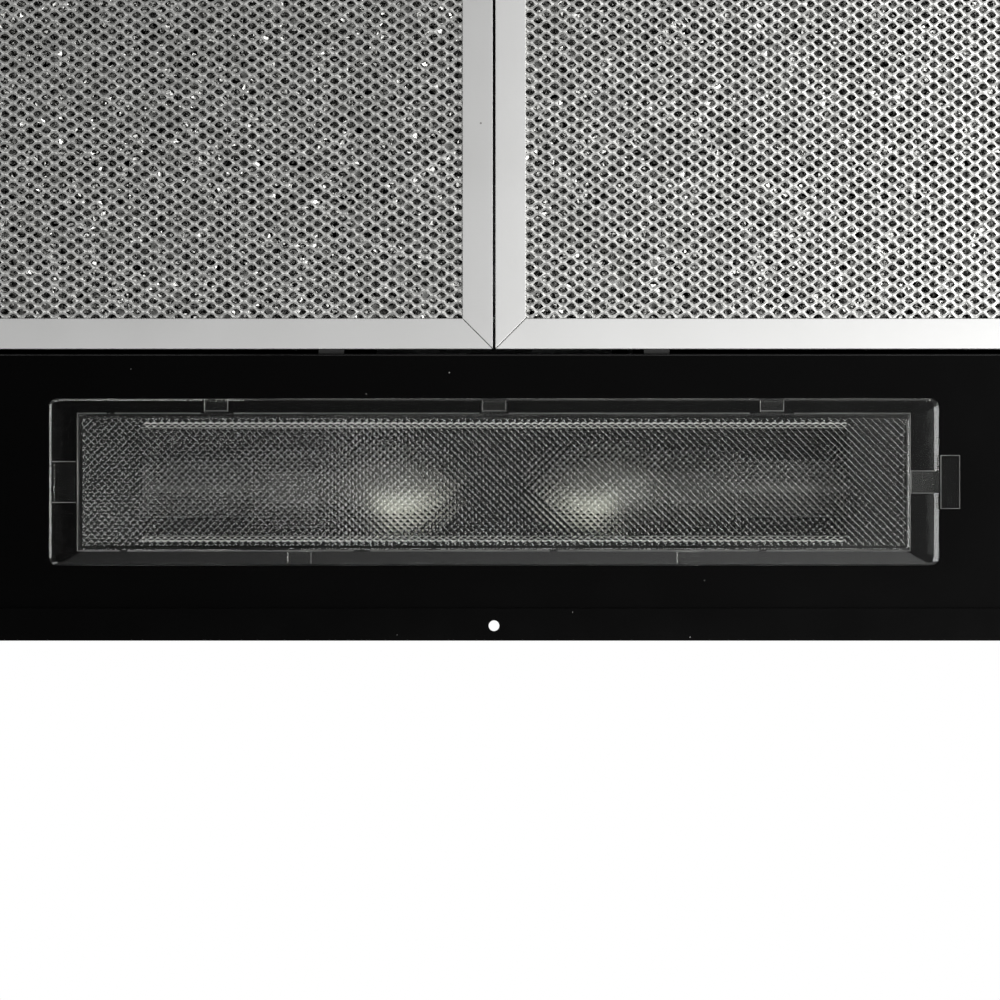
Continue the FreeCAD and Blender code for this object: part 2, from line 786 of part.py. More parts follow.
def impeller():
    # centre disc with its hub, a ring at each open end, and slanting blades between disc and rings
    half = wheel_width / 2
    bore = rod(shaft_radius, 2 * half, -half, axle_y, axle_height, X_AXIS)
    disc = rod(wheel_radius, wheel_sheet, -wheel_sheet / 2, axle_y, axle_height, X_AXIS)
    hub = rod(hub_radius, hub_length, -hub_length / 2, axle_y, axle_height, X_AXIS)
    solids = [disc.fuse(hub).cut(bore)]
    for x in (-half, half - wheel_sheet):
        solids.append(ring(wheel_radius, wheel_radius - blade_depth, wheel_sheet, x, axle_y, axle_height, X_AXIS))
    for index in range(blade_count):
        solids += blade_pair(index * 360 / blade_count)
    return solids


def blade_pair(angle):
    # a flat blade on each side of the disc, leaning forwards
    length = wheel_width / 2 - 1.5 * wheel_sheet
    width = blade_depth - 2 * blade_edge
    middle = wheel_radius - blade_depth / 2
    blades = []
    for x in (wheel_sheet / 2, -wheel_sheet / 2 - length):
        blade = box(x, x + length, middle - width / 2, middle + width / 2, -blade_sheet / 2, blade_sheet / 2)
        blade.rotate(Vector(0, middle, 0), X_AXIS, blade_lean)
        blade.rotate(Vector(0, 0, 0), X_AXIS, angle)
        blade.translate(Vector(0, axle_y, axle_height))
        blades.append(blade)
    return blades


def motor_shaft():
    length = hub_length / 2 + 6 - motor_face_x + motor_length / 2
    return rod(shaft_radius, length, motor_face_x - motor_length / 2, axle_y, axle_height, X_AXIS)


def hub_nut():
    return ring(shaft_radius * 1.8, shaft_radius, 5.0, hub_length / 2, axle_y, axle_height, X_AXIS)


def motor_body():
    x0 = motor_face_x - motor_length
    body = rod(motor_radius, motor_length, x0, axle_y, axle_height, X_AXIS)
    rims = [e for e in body.Edges if len(e.Vertexes) == 1]
    body = body.makeFillet(3.0, rims)
    bore_x = motor_face_x - motor_length / 2 - joint_gap
    bore = rod(shaft_radius + bearing_clearance, motor_length, bore_x, axle_y, axle_height, X_AXIS)
    return body.cut(bore)


def motor_bracket():
    # a three-armed spider from the scroll's side plate, carrying the motor by its face
    x0 = motor_face_x
    parts = [rod(motor_radius * 0.9, spider_sheet, x0, axle_y, axle_height, X_AXIS)]
    reach = spider_foot_radius + spider_arm / 2
    for angle in (90, 210, 330):
        arm = box(x0, x0 + spider_sheet, -spider_arm / 2, spider_arm / 2, 0, reach)
        foot = box(x0, x0 + motor_gap, -spider_arm / 2, spider_arm / 2, reach - spider_sheet, reach)
        toe = box(x0 + motor_gap - spider_sheet, x0 + motor_gap, -spider_arm / 2, spider_arm / 2,
                  inlet_radius + spider_sheet, reach)
        leg = join([arm, foot, toe])
        leg.rotate(Vector(0, 0, 0), X_AXIS, angle - 90)
        leg.translate(Vector(0, axle_y, axle_height))
        parts.append(leg)
    hole = rod(shaft_radius * 2, spider_sheet, x0, axle_y, axle_height, X_AXIS)
    return join(parts).cut(hole)


def capacitor_z():
    return top_under - clip_sheet - capacitor_radius - joint_gap


def capacitor():
    can = rod(capacitor_radius, capacitor_length, capacitor_x - capacitor_length / 2, capacitor_y,
              capacitor_z(), X_AXIS)
    rims = [e for e in can.Edges if len(e.Vertexes) == 1]
    return can.makeFillet(1.5, rims)


def capacitor_clip():
    x0 = capacitor_x - clip_width / 2
    inner = capacitor_radius + joint_gap / 2
    band = ring(inner + clip_sheet, inner, clip_width, x0, capacitor_y, capacitor_z(), X_AXIS)
    ears = box(x0, x0 + clip_width, capacitor_y - 1.6 * inner, capacitor_y + 1.6 * inner,
               top_under - clip_sheet, top_under)
    room = rod(inner, clip_width, x0, capacitor_y, capacitor_z(), X_AXIS)
    neck = box(x0, x0 + clip_width, capacitor_y - inner / 2, capacitor_y + inner / 2,
               capacitor_z() + inner * 0.9, top_under - clip_sheet)
    return join([band, ears, neck]).cut(room)


# ---------------------------------------------------------------- wiring

def wiring_bounds(inset):
    return (wiring_x - wiring_length / 2 + inset, wiring_x + wiring_length / 2 - inset,
            wiring_y - wiring_depth / 2 + inset, wiring_y + wiring_depth / 2 - inset)


def wiring_box():
    x0, x1, y0, y1 = wiring_bounds(0)
    shell = box(x0, x1, y0, y1, top_under - wiring_height, top_under)
    x0, x1, y0, y1 = wiring_bounds(wiring_sheet)
    inside = box(x0, x1, y0, y1, top_under - wiring_height, top_under - wiring_sheet)
    knockout = rod(knockout_radius, wiring_sheet, wiring_x, wiring_y, top_under - wiring_sheet)
    return cut_all(shell, [inside, knockout])


def wiring_cover():
    x0, x1, y0, y1 = wiring_bounds(-wiring_sheet - joint_gap / 2)
    floor = top_under - wiring_height
    lid = box(x0, x1, y0, y1, floor - wiring_sheet, floor + fold_width / 2)
    x0, x1, y0, y1 = wiring_bounds(-joint_gap / 2)
    return lid.cut(box(x0, x1, y0, y1, floor, floor + fold_width / 2))


def gland():
    length = sheet + wiring_sheet + gland_nut_height + 2
    stem = rod(knockout_radius - slide_clearance / 2, length, wiring_x, wiring_y, casing_height - length)
    flange = rod(gland_flange_radius, gland_flange, wiring_x, wiring_y, casing_height)
    dome = Part.makeCone(gland_flange_radius * 0.85, gland_bore + 2, gland_flange * 3, Vector(
        wiring_x, wiring_y, casing_height + gland_flange))
    bore = rod(gland_bore, length + 4 * gland_flange, wiring_x, wiring_y, casing_height - length)
    return join([stem, flange, dome]).cut(bore)


def gland_nut():
    top = top_under - wiring_sheet
    hexagon = Part.makePolygon([Vector(wiring_x + gland_nut_radius * math.cos(math.radians(60 * i)),
                                       wiring_y + gland_nut_radius * math.sin(math.radians(60 * i)),
                                       top - gland_nut_height) for i in range(7)])
    nut = Part.Face(hexagon).extrude(Vector(0, 0, gland_nut_height))
    return nut.cut(rod(knockout_radius - slide_clearance / 2 + 0.01, gland_nut_height, wiring_x, wiring_y,
                       top - gland_nut_height))


def terminal_block():
    x0, x1, y0, y1 = wiring_bounds(wiring_sheet)
    x = wiring_x - terminal_length / 2
    block = box(x, x + terminal_length, y0, y0 + terminal_height, top_under - wiring_height / 2 - terminal_depth,
                top_under - wiring_height / 2)
    ways = 3
    pitch = terminal_length / ways
    holes = [rod(2.0, terminal_height / 2, x + pitch * (i + 0.5), y0 + terminal_height / 2,
                 top_under - wiring_height / 2 - terminal_depth / 2, Y_AXIS) for i in range(ways)]
    return cut_all(block, holes)


# ---------------------------------------------------------------- duct collar and damper

def collar_screw_points():
    return [(collar_screw_radius * math.cos(math.radians(a)),
             collar_y + collar_screw_radius * math.sin(math.radians(a))) for a in (45, 135, 225, 315)]


def pin_rows():
    return [collar_y - pin_spacing / 2, collar_y + pin_spacing / 2]


def duct_collar():
    tube = ring(collar_radius, collar_radius - collar_sheet, collar_height, 0, collar_y, collar_base)
    flange = ring(collar_flange_radius, collar_radius - collar_sheet, sheet, 0, collar_y, collar_base)
    stop_z = flap_level - pin_radius - knuckle_wall - flap_sheet - joint_gap
    stop = ring(collar_radius, collar_radius - collar_sheet - flap_stop_width, sheet, 0, collar_y, stop_z - sheet)
    holes = [rod(screw_radius + screw_clearance, sheet, x, y, collar_base) for x, y in collar_screw_points()]
    holes += [rod(pin_radius, 2 * collar_radius, -collar_radius, y, flap_level, X_AXIS) for y in pin_rows()]
    return cut_all(join([tube, flange, stop]), holes)


def collar_screws():
    return [screw_down(x, y, collar_base + sheet) for x, y in collar_screw_points()]


def damper_pins():
    end = collar_radius - pin_end_inset
    return [rod(pin_radius, 2 * end, -end, y, flap_level, X_AXIS) for y in pin_rows()]


def damper_flap(side):
    y = collar_y + side * pin_spacing / 2
    outer = pin_radius + pin_clearance + knuckle_wall
    radius = collar_radius - collar_sheet - flap_clearance
    z0 = flap_level - outer
    plate = rod(radius, flap_sheet, 0, collar_y, z0)
    keep = box(-radius, radius, min(y, y + side * 2 * radius), max(y, y + side * 2 * radius), z0, z0 + flap_sheet)
    knuckle = rod(outer, knuckle_length, -knuckle_length / 2, y, flap_level, X_AXIS)
    bore = rod(pin_radius + pin_clearance, 2 * radius, -radius, y, flap_level, X_AXIS)
    return join([plate.common(keep), knuckle]).cut(bore)


# ---------------------------------------------------------------- write every piece

os.makedirs("parts", exist_ok=True)

export("top_panel", top_panel())
export("front_wall", long_wall(-1))
export("rear_wall", long_wall(1))
export("right_wall", side_wall(1))
export("left_wall", side_wall(-1))
export("casing_screws", *casing_screws())
export("light_panel", light_panel())
export("right_filter_rail", side_rail())
export("left_filter_rail", mirrored(side_rail()))
export("rear_filter_rail", rear_rail())
export("frame_rivets", *frame_rivets())

filter_pieces = {
    "filter_rails": filter_rails(),
    "filter_face_mesh": [mesh_sheet(recess + rail_sheet, face_mesh_thickness)],
    "filter_foil": filter_foil(),
    "filter_back_mesh": [mesh_sheet(filter_top - rail_sheet - back_mesh_thickness, back_mesh_thickness)],
    "filter_lugs": filter_lugs(),
    "filter_latch_case": [grip_case()],
    "filter_latch": [filter_latch()],
}
for name, solids in filter_pieces.items():
    export("right_" + name, *solids)
    export("left_" + name, *[mirrored(solid) for solid in solids])

export("lamp_cover", lamp_cover())
export("cover_latch", cover_latch())
export("lamp_reflector", reflector())
lamp_pieces = {"lamp_glass": lamp_glass(), "lamp_base": lamp_base(), "lamp_socket": lamp_socket()}
for name, solid in lamp_pieces.items():
    export("right_" + name, solid)
    export("left_" + name, mirrored(solid))

for name, place in zip(("fan", "light"), switch_places()):
    export(name + "_switch_housing", switch_housing(*place))
    export(name + "_switch_rocker", rocker(*place))

export("scroll_wrap", scroll_wrap())
export("scroll_right_side", scroll_side(1))
export("scroll_left_side", scroll_side(-1))
export("blower_screws", *blower_screws())
export("impeller", *impeller())
export("motor_shaft", motor_shaft())
export("impeller_nut", hub_nut())
export("motor", motor_body())
export("motor_bracket", motor_bracket())
export("capacitor", capacitor())
export("capacitor_clip", capacitor_clip())

export("wiring_box", wiring_box())
export("wiring_box_cover", wiring_cover())
export("cable_gland", gland())
export("cable_gland_nut", gland_nut())
export("terminal_block", terminal_block())

export("duct_collar", duct_collar())
export("collar_screws", *collar_screws())
export("damper_pins", *damper_pins())
export("front_damper_flap", damper_flap(-1))
export("rear_damper_flap", damper_flap(1))
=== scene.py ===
import bpy
import bmesh
import json
import math
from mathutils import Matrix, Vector

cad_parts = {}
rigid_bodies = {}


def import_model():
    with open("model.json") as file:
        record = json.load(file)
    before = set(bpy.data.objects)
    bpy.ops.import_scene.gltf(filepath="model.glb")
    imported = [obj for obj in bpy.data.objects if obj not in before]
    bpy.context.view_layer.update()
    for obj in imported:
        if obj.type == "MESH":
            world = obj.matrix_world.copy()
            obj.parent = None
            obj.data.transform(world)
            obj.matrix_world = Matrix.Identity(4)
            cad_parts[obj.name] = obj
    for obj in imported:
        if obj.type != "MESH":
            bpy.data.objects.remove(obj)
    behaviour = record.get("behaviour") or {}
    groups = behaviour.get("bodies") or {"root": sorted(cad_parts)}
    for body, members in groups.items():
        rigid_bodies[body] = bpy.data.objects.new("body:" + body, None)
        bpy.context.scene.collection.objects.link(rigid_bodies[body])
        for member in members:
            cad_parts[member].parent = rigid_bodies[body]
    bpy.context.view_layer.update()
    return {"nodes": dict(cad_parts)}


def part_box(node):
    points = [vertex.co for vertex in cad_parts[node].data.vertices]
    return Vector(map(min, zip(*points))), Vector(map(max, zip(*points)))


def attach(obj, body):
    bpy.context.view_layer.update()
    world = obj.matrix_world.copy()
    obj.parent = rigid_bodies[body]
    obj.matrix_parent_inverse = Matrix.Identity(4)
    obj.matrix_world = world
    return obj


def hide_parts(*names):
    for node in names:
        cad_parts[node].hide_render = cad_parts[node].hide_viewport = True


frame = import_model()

MM = 0.001


# ---- Casing and underside sheets
# Folded steel sheet in black stoved enamel: four walls with a turned-out foot, a lid, and below them
# the light panel and the three rails round the filters, riveted to the walls through their lips.

class Shade:
    """A socket in a material's node tree, which can be used in sums."""

    def __init__(self, tree, socket=None):
        self.tree = tree
        self.socket = socket

    def node(self, kind, settings=None, inputs=None, output=0):
        made = self.tree.nodes.new(kind)
        for name, value in (settings or {}).items():
            if name == "stops":
                while len(made.color_ramp.elements) < len(value):
                    made.color_ramp.elements.new(1.0)
                for element, (position, colour) in zip(made.color_ramp.elements, value):
                    element.position = position
                    element.color = colour
            else:
                setattr(made, name, value)
        for name, value in (inputs or {}).items():
            if isinstance(value, Shade):
                self.tree.links.new(value.socket, made.inputs[name])
            else:
                made.inputs[name].default_value = value
        return Shade(self.tree, made.outputs[output])

    def math(self, operation, first, second):
        return self.node("ShaderNodeMath", {"operation": operation}, {0: first, 1: second})

    def __add__(self, other):
        return self.math("ADD", self, other)

    def __radd__(self, other):
        return self.math("ADD", other, self)

    def __sub__(self, other):
        return self.math("SUBTRACT", self, other)

    def __rsub__(self, other):
        return self.math("SUBTRACT", other, self)

    def __mul__(self, other):
        return self.math("MULTIPLY", self, other)

    def above(self, level):
        return self.math("GREATER_THAN", self, level)

    def below(self, level):
        return self.math("LESS_THAN", self, level)

    def most(self, other):
        return self.math("MAXIMUM", self, other)

    def ramp(self, first, last, start=0.0, end=1.0):
        # goes smoothly from start to end while the value goes from first to last
        return self.node("ShaderNodeMapRange", {"interpolation_type": "SMOOTHSTEP"},
                         {"Value": self, "From Min": first, "From Max": last, "To Min": start, "To Max": end})

    def place(self, scale=(1.0, 1.0, 1.0)):
        # where the point lies on the object, in metres, stretched by scale
        spot = self.node("ShaderNodeTexCoord", output=3)
        return self.node("ShaderNodeMapping", None, {"Vector": spot, "Scale": scale})

    def coordinate(self, axis):
        return self.node("ShaderNodeSeparateXYZ", None, {"Vector": self.place()}, output=axis)

    def noise(self, size, detail=2.0, stretch=(1.0, 1.0, 1.0)):
        # smooth noise whose lumps are about size metres
        return self.node("ShaderNodeTexNoise", None,
                         {"Vector": self.place(stretch), "Scale": 1.0 / size, "Detail": detail})

    def cells(self, size, output=0):
        # output 0 is the distance from the middle of a cell, and 1 its own colour
        return self.node("ShaderNodeTexVoronoi", None, {"Vector": self.place(), "Scale": 1.0 / size},
                         output=output)

    def facets(self, size):
        # one value for each cell
        return self.node("ShaderNodeSeparateColor", None, {"Color": self.cells(size, output=1)})

    def blend(self, factor, first, second):
        return self.node("ShaderNodeMix", {"data_type": "RGBA"},
                         {"Factor": factor, 6: first, 7: second}, output=2)

    def bump(self, height, strength, distance):
        return self.node("ShaderNodeBump", None,
                         {"Height": height, "Strength": strength, "Distance": distance})


def finish(name, fixed, vary):
    """A material whose even values sit on the shader and whose uneven ones come from vary."""
    material = bpy.data.materials.new(name)
    material.use_nodes = True
    tree = material.node_tree
    shader = tree.nodes["Principled BSDF"]
    for socket, value in fixed.items():
        shader.inputs[socket].default_value = value
    for socket, value in vary(Shade(tree)).items():
        tree.links.new(value.socket, shader.inputs[socket])
    return material


def mottled(patch, dark, light, roughness, grain, spread):
    """Tones from dark to light in patches, and a roughness that varies by spread with the grain."""
    def vary(shade):
        return {"Base Color": shade.blend(shade.noise(patch), dark + (1,), light + (1,)),
                "Roughness": roughness + shade.noise(grain) * spread}
    return vary


def dress(name, material):
    node = frame["nodes"][name]
    node.data.materials.clear()
    node.data.materials.append(material)


def enamel(shade):
    dust = shade.cells(0.009).below(0.035) * shade.noise(0.02).above(0.55)
    tone = shade.blend(shade.noise(0.06), (0.0003, 0.0003, 0.0003, 1), (0.0008, 0.0008, 0.0008, 1))
    return {
        "Base Color": shade.blend(dust, tone, (0.22, 0.22, 0.21, 1)),
        "Roughness": 0.06 + shade.noise(0.03) * 0.06 + dust * 0.5,
        "Normal": shade.bump(shade.noise(0.003), 0.02, 0.0002),
    }


black_enamel = finish("black_enamel", {"Specular IOR Level": 0.45}, enamel)
for sheet in ("top_panel", "front_wall", "rear_wall", "left_wall", "right_wall", "light_panel",
              "left_filter_rail", "right_filter_rail", "rear_filter_rail"):
    dress(sheet, black_enamel)


# ---- Filter frames
# Each grease filter is held in four strips of satin aluminium, folded to a channel and mitred at the
# corners; the mitres show as fine dark lines.

def clear_selection():
    if bpy.context.object and bpy.context.object.mode != "OBJECT":
        bpy.ops.object.mode_set(mode="OBJECT")
    bpy.ops.object.select_all(action="DESELECT")


def start_edit():
    bpy.ops.object.mode_set(mode="EDIT")
    bpy.ops.mesh.select_all(action="DESELECT")


def pick(test, kind="verts"):
    """Select in edit mode the verts or faces whose middle and normal pass a test."""
    bpy.ops.mesh.select_all(action="DESELECT")
    bpy.ops.mesh.select_mode(type={"verts": "VERT", "faces": "FACE"}[kind])
    mesh = bmesh.from_edit_mesh(bpy.context.object.data)
    for part in getattr(mesh, kind):
        middle = part.co if kind == "verts" else part.calc_center_median()
        part.select_set(test(middle, part.normal))
    mesh.select_flush_mode()
    bmesh.update_edit_mesh(bpy.context.object.data)


def modify(piece, kind, **settings):
    modifier = piece.modifiers.new(kind.title(), kind)
    for name, value in settings.items():
        setattr(modifier, name, value)
    bpy.context.view_layer.objects.active = piece
    bpy.ops.object.modifier_apply(modifier=modifier.name)


def settle(piece, name):
    """Give the piece its name and put its place into its mesh."""
    clear_selection()
    piece.select_set(True)
    bpy.context.view_layer.objects.active = piece
    bpy.ops.object.transform_apply(location=True, rotation=True, scale=True)
    piece.name = name
    piece.data.name = name
    return piece


def join_pieces(pieces, name):
    clear_selection()
    for piece in pieces:
        piece.select_set(True)
    bpy.context.view_layer.objects.active = pieces[0]
    bpy.ops.object.join()
    return settle(pieces[0], name)


def wear(piece, material, body, material_slot, *nodes):
    """Dress a finished piece and say what it rides on and stands for."""
    piece.data.materials.clear()
    piece.data.materials.append(material)
    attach(piece, body)
    if nodes:
        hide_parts(*nodes)


rail_width = 14.3 * MM
rail_edge = 0.35 * MM
mitre_gap = 0.12 * MM


def strip(length, height):
    # one strip lying along X with its outer edge at -Y, both ends cut to 45 degrees
    clear_selection()
    bpy.ops.mesh.primitive_cube_add(size=1.0)
    piece = bpy.context.object
    piece.scale = (length - 2 * mitre_gap, rail_width, height)
    bpy.ops.object.transform_apply(scale=True)
    start_edit()
    pick(lambda co, normal: co.y > 0)
    inner = (length - 2 * rail_width - 2 * mitre_gap) / (length - 2 * mitre_gap)
    bpy.ops.transform.resize(value=(inner, 1, 1))
    bpy.ops.object.mode_set(mode="OBJECT")
    modify(piece, "BEVEL", width=rail_edge, segments=2)
    return piece


def filter_frame(side):
    low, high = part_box(side + "_filter_rails")
    width, depth, height = (high[axis] - low[axis] for axis in range(3))
    middle = Vector([(low[axis] + high[axis]) / 2 for axis in range(3)])
    strips = []
    sides = ((width, depth, 0), (depth, width, 90), (width, depth, 180), (depth, width, 270))
    for length, reach, turn in sides:
        piece = strip(length, height)
        angle = math.radians(turn)
        offset = (reach - rail_width) / 2
        piece.rotation_euler = (0, 0, angle)
        piece.location = middle + Vector((offset * math.sin(angle), -offset * math.cos(angle), 0))
        strips.append(piece)
    piece = join_pieces(strips, side + "_filter_frame")
    bpy.ops.object.shade_smooth_by_angle(angle=math.radians(35))
    modify(piece, "WEIGHTED_NORMAL", keep_sharp=True)
    return piece


def satin(tone):
    def vary(shade):
        grain = shade.noise(0.0006, 3.0, (0.12, 1.0, 1.0))
        smear = shade.noise(0.05, 3.0)
        mark = shade.cells(0.016).below(0.03) * shade.noise(0.03).above(0.52)
        bright = tuple(tone * c for c in (0.93, 0.93, 0.925)) + (1,)
        dull = tuple(tone * c for c in (0.84, 0.84, 0.825)) + (1,)
        return {
            "Base Color": shade.blend(mark, shade.blend(smear, dull, bright), (0.35, 0.34, 0.33, 1)),
            "Roughness": 0.5 + grain * 0.08 + smear * 0.06,
            "Normal": shade.bump(grain, 0.05, 0.0002),
        }
    return vary


# The two frames share one satin in a darker and a lighter copy: painted shade and painted light for the light
# falling more on one filter than on the other.
satin_right_painted_darker = finish("satin_aluminium_right_painted_darker", {"Metallic": 1.0}, satin(0.86))
satin_left_painted_lighter = finish("satin_aluminium_left_painted_lighter", {"Metallic": 1.0}, satin(1.0))
# The lugs get a near-black copy of the satin: painted shade for the dark gap they sit in.
satin_painted_shade = finish("satin_aluminium_painted_shade", {"Metallic": 1.0}, satin(0.06))
satin_of = {"right": satin_right_painted_darker, "left": satin_left_painted_lighter}
for side in ("right", "left"):
    wear(filter_frame(side), satin_of[side], side + "_filter", "satin_aluminium", side + "_filter_rails")
    dress(side + "_filter_lugs", satin_painted_shade)
    dress(side + "_filter_latch_case", satin_of[side])
    dress(side + "_filter_latch", satin_of[side])


# ---- Filter face mesh
# Expanded aluminium: slit sheet pulled out so that every strand tilts. Its eye-shaped gaps lie in
# staggered rows; the sheet is trapped in the channel of the frame.

eye_pitch = 7.75 * MM
eye_rise = 5.17 * MM
strand_tilt = 0.28 * MM
strand_thickness = 0.32 * MM
strand_scatter = 0.12 * MM
mesh_margin = 11.0 * MM
latch_room = 0.5 * MM
merge_reach = 0.02 * MM


def mesh_cell():
    # the strands round one gap: a diamond with an eye-shaped hole, its lower lip bent up
    clear_selection()
    bpy.ops.mesh.primitive_circle_add(vertices=8, radius=1.0)
    piece = bpy.context.object
    start_edit()
    bpy.ops.mesh.select_all(action="SELECT")
    bpy.ops.transform.resize(value=(eye_pitch / 2, eye_rise / 2, 1))
    pick(lambda co, normal: abs(co.x) > eye_pitch * 0.1 and abs(co.y) > eye_rise * 0.1)
    bpy.ops.transform.resize(value=(math.sqrt(0.5), math.sqrt(0.5), 1))
    bpy.ops.mesh.select_all(action="SELECT")
    bpy.ops.mesh.extrude_edges_move()
    bpy.ops.transform.resize(value=(0.63, 0.60, 1))
    mesh = bmesh.from_edit_mesh(piece.data)
    hole = [v for v in mesh.verts if v.select]
    for vert in hole:
        if abs(vert.co.x) > eye_pitch * 0.05 and abs(vert.co.y) > eye_rise * 0.05:
            vert.co.x *= 1.08
            vert.co.y *= 1.42
    bmesh.update_edit_mesh(piece.data)
    inner_x, inner_y = eye_pitch * 0.34, eye_rise * 0.34
    pick(lambda co, normal: abs(co.x) < inner_x and eye_rise * 0.1 < co.y < inner_y)
    bpy.ops.transform.translate(value=(0, 0, -strand_tilt))
    pick(lambda co, normal: abs(co.x) < inner_x and -inner_y < co.y < -eye_rise * 0.1)
    bpy.ops.transform.translate(value=(0, 0, strand_tilt))
    bpy.ops.object.mode_set(mode="OBJECT")
    return piece


def staggered(cell, step_x, step_y, columns, rows):
    """Repeat a cell in columns and rows, with one more in the middle of every four."""
    second = cell.copy()
    second.data = cell.data.copy()
    bpy.context.collection.objects.link(second)
    second.location = (step_x / 2, step_y / 2, 0)
    piece = join_pieces([cell, second], "cells")
    for count, step in ((columns, (step_x, 0, 0)), (rows, (0, step_y, 0))):
        modify(piece, "ARRAY", count=count, use_relative_offset=False, use_constant_offset=True,
               constant_offset_displace=step, use_merge_vertices=True, merge_threshold=merge_reach)
    return piece


def face_mesh(side):
    low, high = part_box(side + "_filter_face_mesh")
    columns = math.ceil((high[0] - low[0] - 2 * mesh_margin) / eye_pitch)
    rows = math.ceil((high[1] - low[1] - 2 * mesh_margin) / eye_rise)
    piece = staggered(mesh_cell(), eye_pitch, eye_rise, columns, rows)
    piece.location = ((low[0] + high[0]) / 2 - (columns - 0.5) * eye_pitch / 2,
                      (low[1] + high[1]) / 2 - (rows - 0.5) * eye_rise / 2, (low[2] + high[2]) / 2)
    settle(piece, side + "_face_mesh")
    clear_latch_room(piece, side)
    start_edit()
    bpy.ops.mesh.select_all(action="SELECT")
    bpy.ops.transform.vertex_random(offset=strand_scatter, seed=7)
    bpy.ops.object.mode_set(mode="OBJECT")
    modify(piece, "SOLIDIFY", thickness=strand_thickness, offset=0.0)
    bpy.ops.object.shade_smooth_by_angle(angle=math.radians(50))
    return piece


def clear_latch_room(piece, side):
    # the sheet is cut away where the latch case stands
    low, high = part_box(side + "_filter_latch_case")
    left, right, front = low[0] - latch_room, high[0] + latch_room, low[1] - latch_room
    start_edit()
    pick(lambda co, normal: left < co.x < right and co.y > front, "faces")
    bpy.ops.mesh.delete(type="FACE")
    bpy.ops.object.mode_set(mode="OBJECT")


def bright_mesh(tone):
    def vary(shade):
        film = shade.noise(0.012, 3.0)
        high = tuple(tone * c for c in (0.95, 0.95, 0.93)) + (1,)
        low = tuple(tone * c for c in (0.78, 0.78, 0.75)) + (1,)
        return {
            "Base Color": shade.blend(film, low, high),
            "Roughness": 0.34 + film * 0.16,
            "Normal": shade.bump(shade.noise(0.0009), 0.12, 0.0002),
        }
    return vary


# The two face meshes share one metal in a darker and a lighter copy: painted shade and painted light for the
# light falling more on one filter than on the other.
mesh_right_painted_darker = finish("mesh_aluminium_right_painted_darker", {"Metallic": 1.0}, bright_mesh(0.88))
mesh_left_painted_lighter = finish("mesh_aluminium_left_painted_lighter", {"Metallic": 1.0}, bright_mesh(0.95))
mesh_of = {"right": mesh_right_painted_darker, "left": mesh_left_painted_lighter}
for side in ("right", "left"):
    wear(face_mesh(side), mesh_of[side], side + "_filter", "mesh_aluminium", side + "_filter_face_mesh")
    dress(side + "_filter_back_mesh", mesh_of[side])


# ---- Filter foils
# Behind the face mesh lie crumpled foils of the same metal, torn open all over, which glitter
# through the gaps; they fill the frame between the two meshes. Their glitter comes partly from the
# crumpled metal and partly from paint: patches of the foil are painted near-black and bright.

foil_pitch = 1.9 * MM
foil_crumple = 1.5 * MM
foil_thickness = 0.12 * MM
foil_margin = 8.0 * MM
painted_glint_size = 1.0 * MM


def crumpled_foil(side, layer, height, torn):
    low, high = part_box(side + "_filter_foil")
    width, depth = high[0] - low[0] - 2 * foil_margin, high[1] - low[1] - 2 * foil_margin
    clear_selection()
    bpy.ops.mesh.primitive_grid_add(x_subdivisions=int(width / foil_pitch),
                                    y_subdivisions=int(depth / foil_pitch), size=1.0)
    piece = bpy.context.object
    piece.scale = (width, depth, 1)
    piece.location = ((low[0] + high[0]) / 2, (low[1] + high[1]) / 2, height)
    settle(piece, side + "_foil_" + str(layer))
    clear_latch_room(piece, side)
    start_edit()
    bpy.ops.mesh.select_all(action="SELECT")
    bpy.ops.transform.vertex_random(offset=foil_crumple, seed=layer * 5 + 3)
    bpy.ops.mesh.select_all(action="DESELECT")
    bpy.ops.mesh.select_mode(type="FACE")
    bpy.ops.mesh.select_random(ratio=torn, seed=layer * 3 + 1)
    bpy.ops.mesh.delete(type="FACE")
    bpy.ops.object.mode_set(mode="OBJECT")
    modify(piece, "SOLIDIFY", thickness=foil_thickness, offset=0.0)
    return piece


# Each small patch of the foil is painted from near-black to bright: painted shade between the crumples and
# painted glints on them.
def foil_glint(shade):
    painted_glint_facet = shade.facets(painted_glint_size)
    painted_glint_contrast = painted_glint_facet.math("POWER", painted_glint_facet, 1.8)
    return {
        "Base Color": shade.blend(painted_glint_contrast, (0.02, 0.02, 0.018, 1), (0.85, 0.85, 0.82, 1)),
        "Roughness": 0.2 + painted_glint_facet * 0.15,
    }


foil_painted_glints_material = finish("foil_aluminium_painted_glints", {"Metallic": 1.0}, foil_glint)
for side in ("right", "left"):
    foil_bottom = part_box(side + "_filter_foil")[0][2]
    for layer, height, torn in ((1, 1.2 * MM, 0.42), (2, 3.4 * MM, 0.30)):
        foil = crumpled_foil(side, layer, foil_bottom + height, torn)
        wear(foil, foil_painted_glints_material, side + "_filter", "mesh_aluminium", side + "_filter_foil")


# ---- Lamp cover
# One clear moulding: a border with a rolled rim that slopes to a raised box, whose face is covered
# with small four-sided prisms. Tabs under the pads on its border hold it in the light panel, and a
# sliding grip holds its end; thin light strips along the moulding's sharp edges are painted highlights.

cover_low, cover_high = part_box("lamp_cover")
cover_x = (cover_low[0] + cover_high[0]) / 2
cover_y = (cover_low[1] + cover_high[1]) / 2
rim_half = (209.0 * MM, 39.25 * MM)
box_half = (194.4 * MM, 31.5 * MM)
prism_half = (192.9 * MM, 29.9 * MM)
prism_pitch = 3.3 * MM
prism_height = 0.6 * MM
prism_foot = 0.22 * MM
face_height = 3.6 * MM
face_depth = 1.6 * MM
rim_height = 7.5 * MM
rim_corner = 4.0 * MM
cover_wall = 1.2 * MM
cover_edge = 0.12 * MM
pad_level = 6.9 * MM
pad_height = 1.4 * MM
pad_length = 11 * MM


